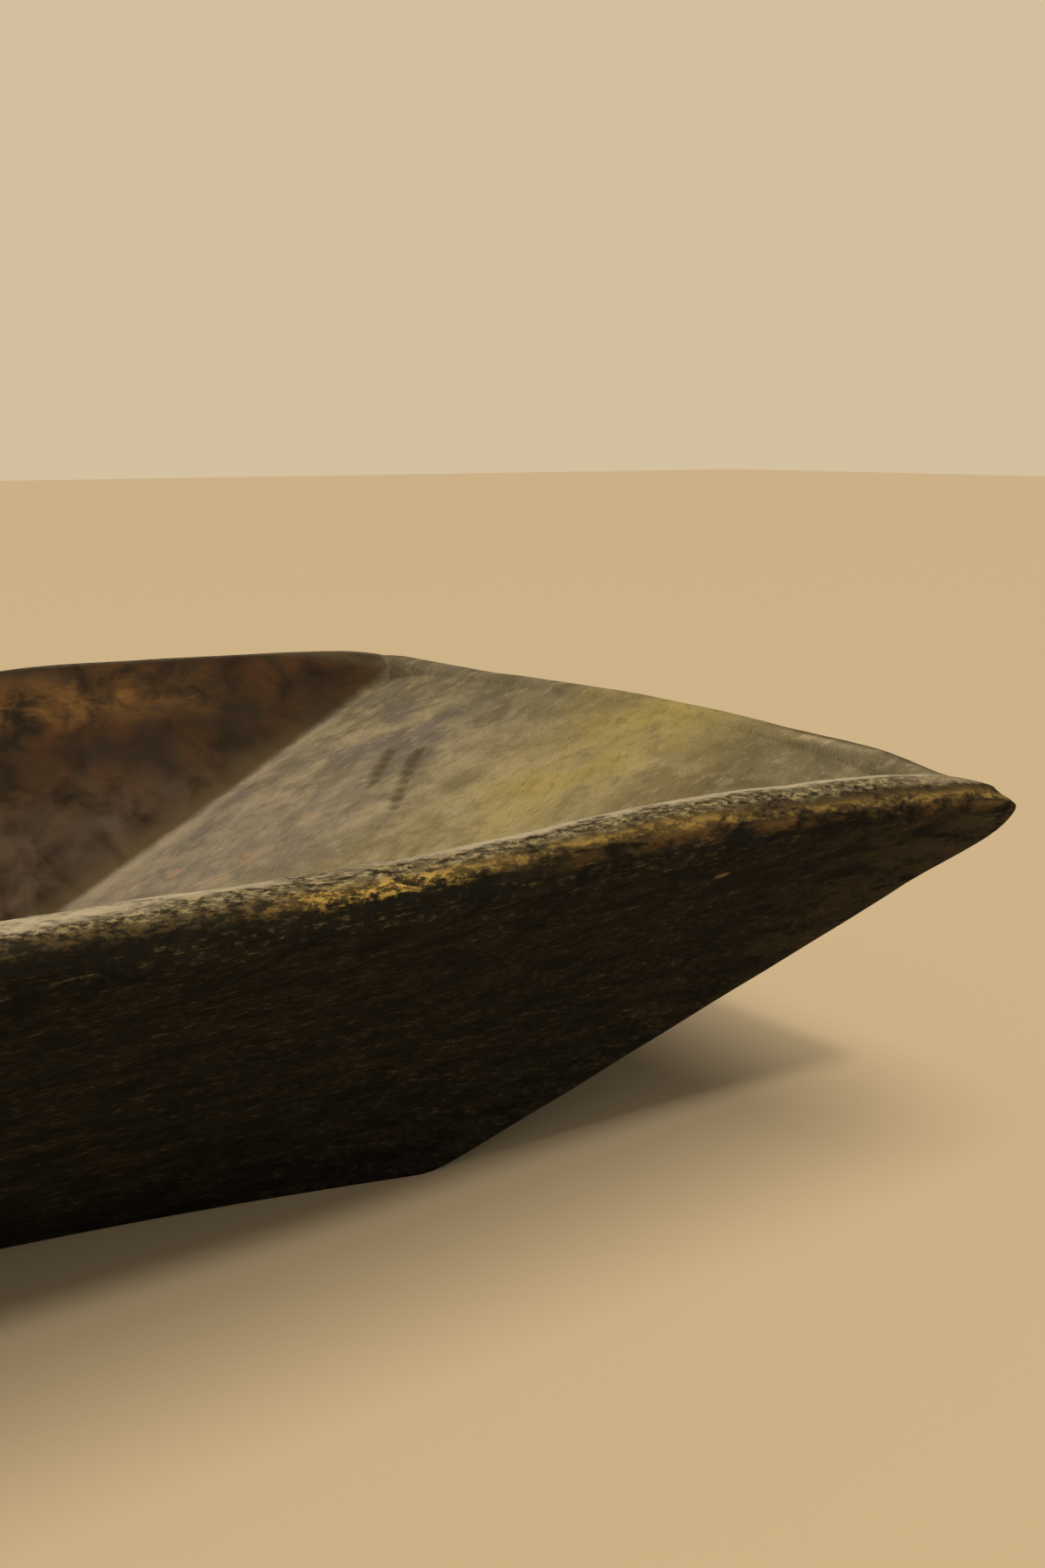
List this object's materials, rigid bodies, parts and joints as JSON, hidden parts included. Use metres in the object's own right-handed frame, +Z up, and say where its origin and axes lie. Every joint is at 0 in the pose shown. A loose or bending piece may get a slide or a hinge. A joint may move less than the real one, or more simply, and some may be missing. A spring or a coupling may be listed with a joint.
{
  "type": "dough bowl",
  "caption": "Long rectangular wooden dough bowl hewn from one piece, with sloping side walls, long end ramps, a thick worn rim with drooping corners and a flat foot.",
  "frame": {"origin": "middle of the flat foot, on the table", "axes": "+X along the bowl's length and the grain, +Y across it, +Z up out of the hollow"},
  "size_m": [0.764, 0.366, 0.1145],
  "materials": {
    "wood": "worn dark patina, greyed inside, ochre where the rim's edges are rubbed bare"
  },
  "bodies": {
    "root": {"bowl": "wood"}
  },
  "joints": []
}
